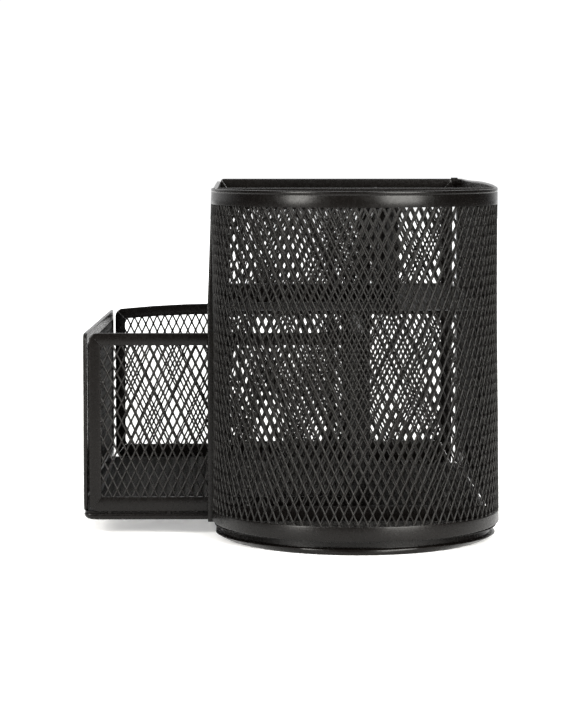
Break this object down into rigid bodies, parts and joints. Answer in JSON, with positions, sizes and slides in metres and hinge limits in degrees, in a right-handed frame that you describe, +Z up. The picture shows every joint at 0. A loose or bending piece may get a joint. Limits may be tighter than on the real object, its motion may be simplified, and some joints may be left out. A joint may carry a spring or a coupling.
{
  "type": "desk organizer",
  "caption": "D-shaped mesh desk organizer with a half-round pen cup, divided top bays and a sliding drawer below.",
  "frame": {"origin": "middle of the bounding box at the base, with the drawer part of the way out", "axes": "+Z up, +Y from the half-round pen cup towards the flat end panel, -X the way the drawer slides out"},
  "size_m": [0.1304, 0.2036, 0.1093],
  "materials": {
    "rail_coat": "satin black powder coat on folded steel strip",
    "mesh_coat": "satin black powder coat on expanded steel mesh"
  },
  "bodies": {
    "body": {"foot_ring": "rail_coat", "floor_frame": "rail_coat", "floor_mesh": "mesh_coat", "wall_mesh": "mesh_coat", "top_band": "rail_coat", "bottom_band": "rail_coat", "front_left_post": "rail_coat", "rear_right_post": "rail_coat", "rear_corner_tab": "rail_coat", "rear_frame": "rail_coat", "rear_mesh": "mesh_coat", "rear_mid_post": "rail_coat", "rear_thin_bar": "rail_coat", "cup_partition_frame": "rail_coat", "cup_partition_mesh": "mesh_coat", "shelf_frame": "rail_coat", "shelf_mesh": "mesh_coat", "left_panel_frame": "rail_coat", "left_panel_mesh": "mesh_coat", "long_divider_frame": "rail_coat", "long_divider_mesh": "mesh_coat", "cross_divider_frame": "rail_coat", "cross_divider_mesh": "mesh_coat"},
    "drawer": {"drawer_near_frame": "rail_coat", "drawer_near_mesh": "mesh_coat", "drawer_far_frame": "rail_coat", "drawer_far_mesh": "mesh_coat", "drawer_outer_end_frame": "rail_coat", "drawer_outer_end_mesh": "mesh_coat", "drawer_inner_end_frame": "rail_coat", "drawer_inner_end_mesh": "mesh_coat", "drawer_lip": "rail_coat", "drawer_floor_mesh": "mesh_coat", "drawer_weld_spots": "rail_coat"}
  },
  "joints": [
    {"name": "drawer_slide", "type": "slide", "parent": "body", "child": "drawer", "axis": [-1, 0, 0], "range_m": [-0.0382, 0.028]}
  ]
}
